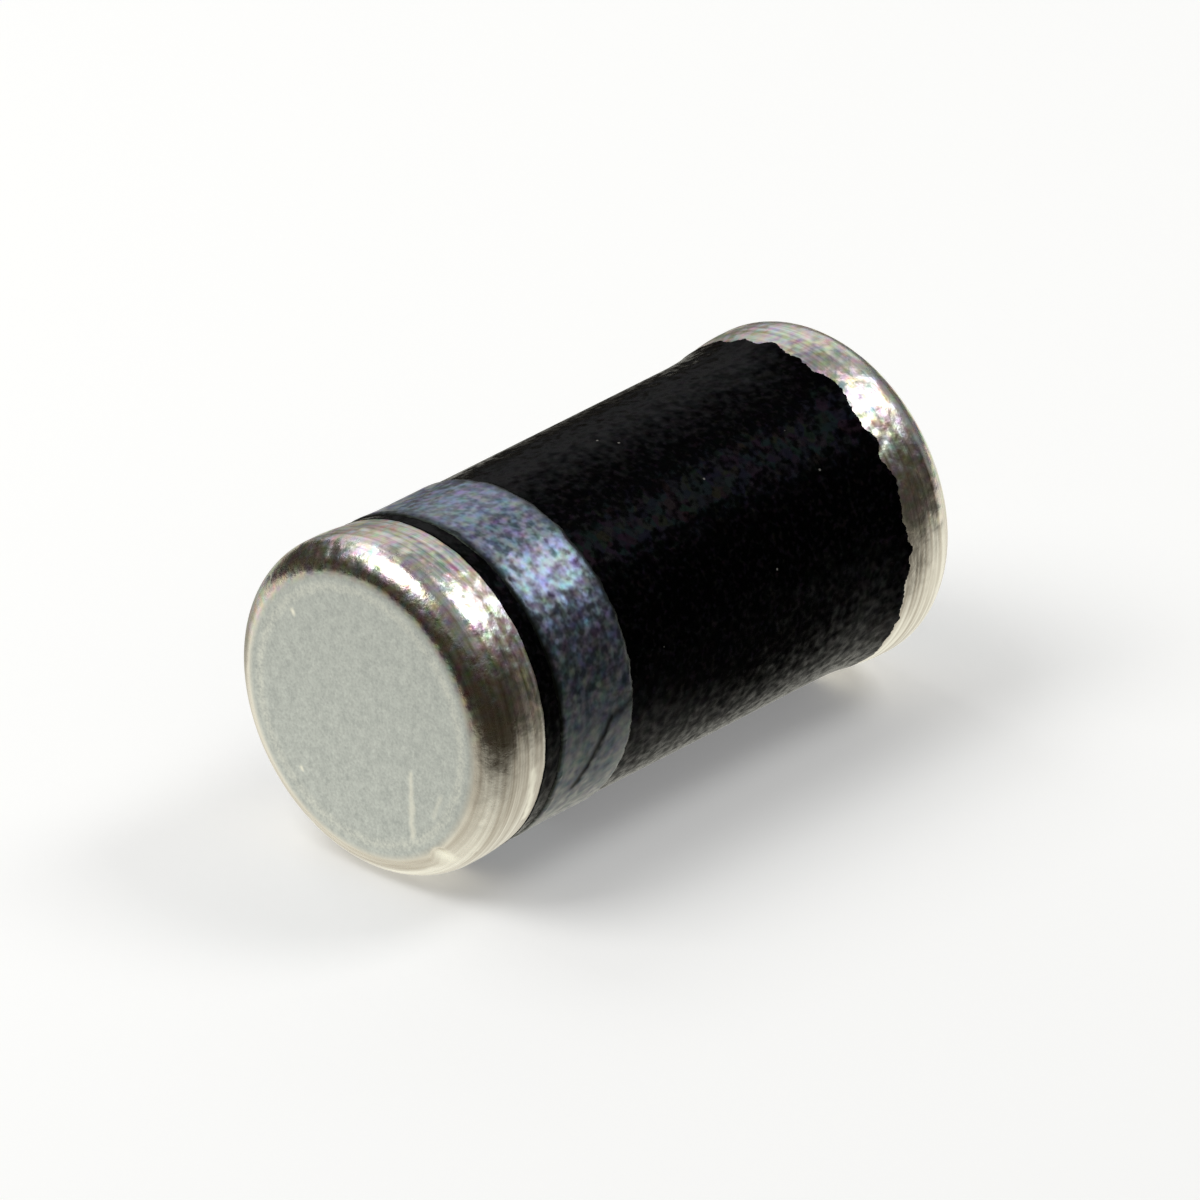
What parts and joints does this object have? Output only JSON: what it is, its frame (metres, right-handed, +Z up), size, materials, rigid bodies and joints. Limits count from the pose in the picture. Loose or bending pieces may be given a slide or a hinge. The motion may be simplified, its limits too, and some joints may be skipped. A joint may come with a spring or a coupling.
{
  "type": "melf rectifier diode",
  "caption": "Cylindrical surface-mount rectifier diode: black epoxy body between two tinned round terminals, with a printed grey band that marks the cathode end.",
  "frame": {"origin": "on the board plane, under the middle of the diode, where its two heads touch the board", "axes": "+X along the diode's axis from the cathode, with the band, to the anode; +Z up from the board"},
  "size_m": [0.005, 0.0026, 0.0026],
  "materials": {
    "tinned_copper": "matte tin plating over cold-headed copper",
    "solder": "reflowed solder",
    "silicon": "diced and etched silicon",
    "silicone_rubber": "cast silicone rubber",
    "black_epoxy": "moulded, fine satin grain",
    "marking_ink": "thin printed ink, speckled"
  },
  "bodies": {
    "root": {"cathode_terminal": "tinned_copper", "anode_terminal": "tinned_copper", "cathode_solder": "solder", "anode_solder": "solder", "silicon_chip": "silicon", "junction_coating": "silicone_rubber", "moulded_body": "black_epoxy", "cathode_band": "marking_ink"}
  },
  "joints": []
}
